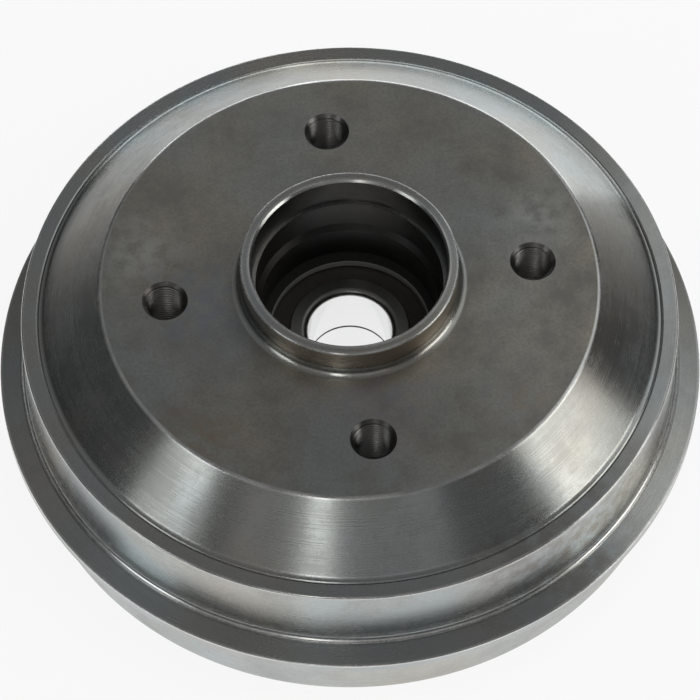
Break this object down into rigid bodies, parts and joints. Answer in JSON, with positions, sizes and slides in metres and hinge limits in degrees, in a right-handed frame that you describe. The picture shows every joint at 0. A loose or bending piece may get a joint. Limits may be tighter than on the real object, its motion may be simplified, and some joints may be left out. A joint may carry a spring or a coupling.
{
  "type": "brake drum",
  "caption": "Turned iron brake drum with a raised centring collar, a wheel bolt circle, a flange round its wall and a sealed wheel bearing held in its hub by a retaining ring.",
  "frame": {"origin": "on the drum's axis, at the flat face that the wheel seats on", "axes": "+Z out of the wheel side along the axis; the wheel bolt holes lie on the X and Y axes; the retaining ring's gap points to -Y"},
  "size_m": [0.21, 0.21, 0.0755],
  "materials": {
    "turned_iron": "fine-turned bare grey iron, satin, with light handling marks",
    "bearing_steel": "ground hardened steel",
    "ball_steel": "polished hardened steel",
    "cage_polymer": "moulded natural nylon",
    "seal_rubber": "dark brown moulded rubber on a steel disc",
    "spring_steel": "dark phosphated spring steel"
  },
  "bodies": {
    "drum": {"brake_drum": "turned_iron", "bearing_outer_ring": "bearing_steel", "seal_front": "seal_rubber", "seal_rear": "seal_rubber", "retaining_ring": "spring_steel"},
    "inner_race": {"inner_ring_front": "bearing_steel", "inner_ring_rear": "bearing_steel"},
    "ball_set": {"balls_front": "ball_steel", "balls_rear": "ball_steel", "cage_front": "cage_polymer", "cage_rear": "cage_polymer"}
  },
  "joints": [
    {"name": "inner_race_turn", "type": "hinge", "parent": "drum", "child": "inner_race", "pos_m": [0, 0, -0.0439], "axis": [0, 0, 1], "continuous": true},
    {"name": "ball_set_turn", "type": "hinge", "parent": "drum", "child": "ball_set", "pos_m": [0, 0, -0.0439], "axis": [0, 0, 1], "continuous": true}
  ],
  "couplings": [
    {"joint": "ball_set_turn", "follows": "inner_race_turn", "ratio": 0.42}
  ]
}
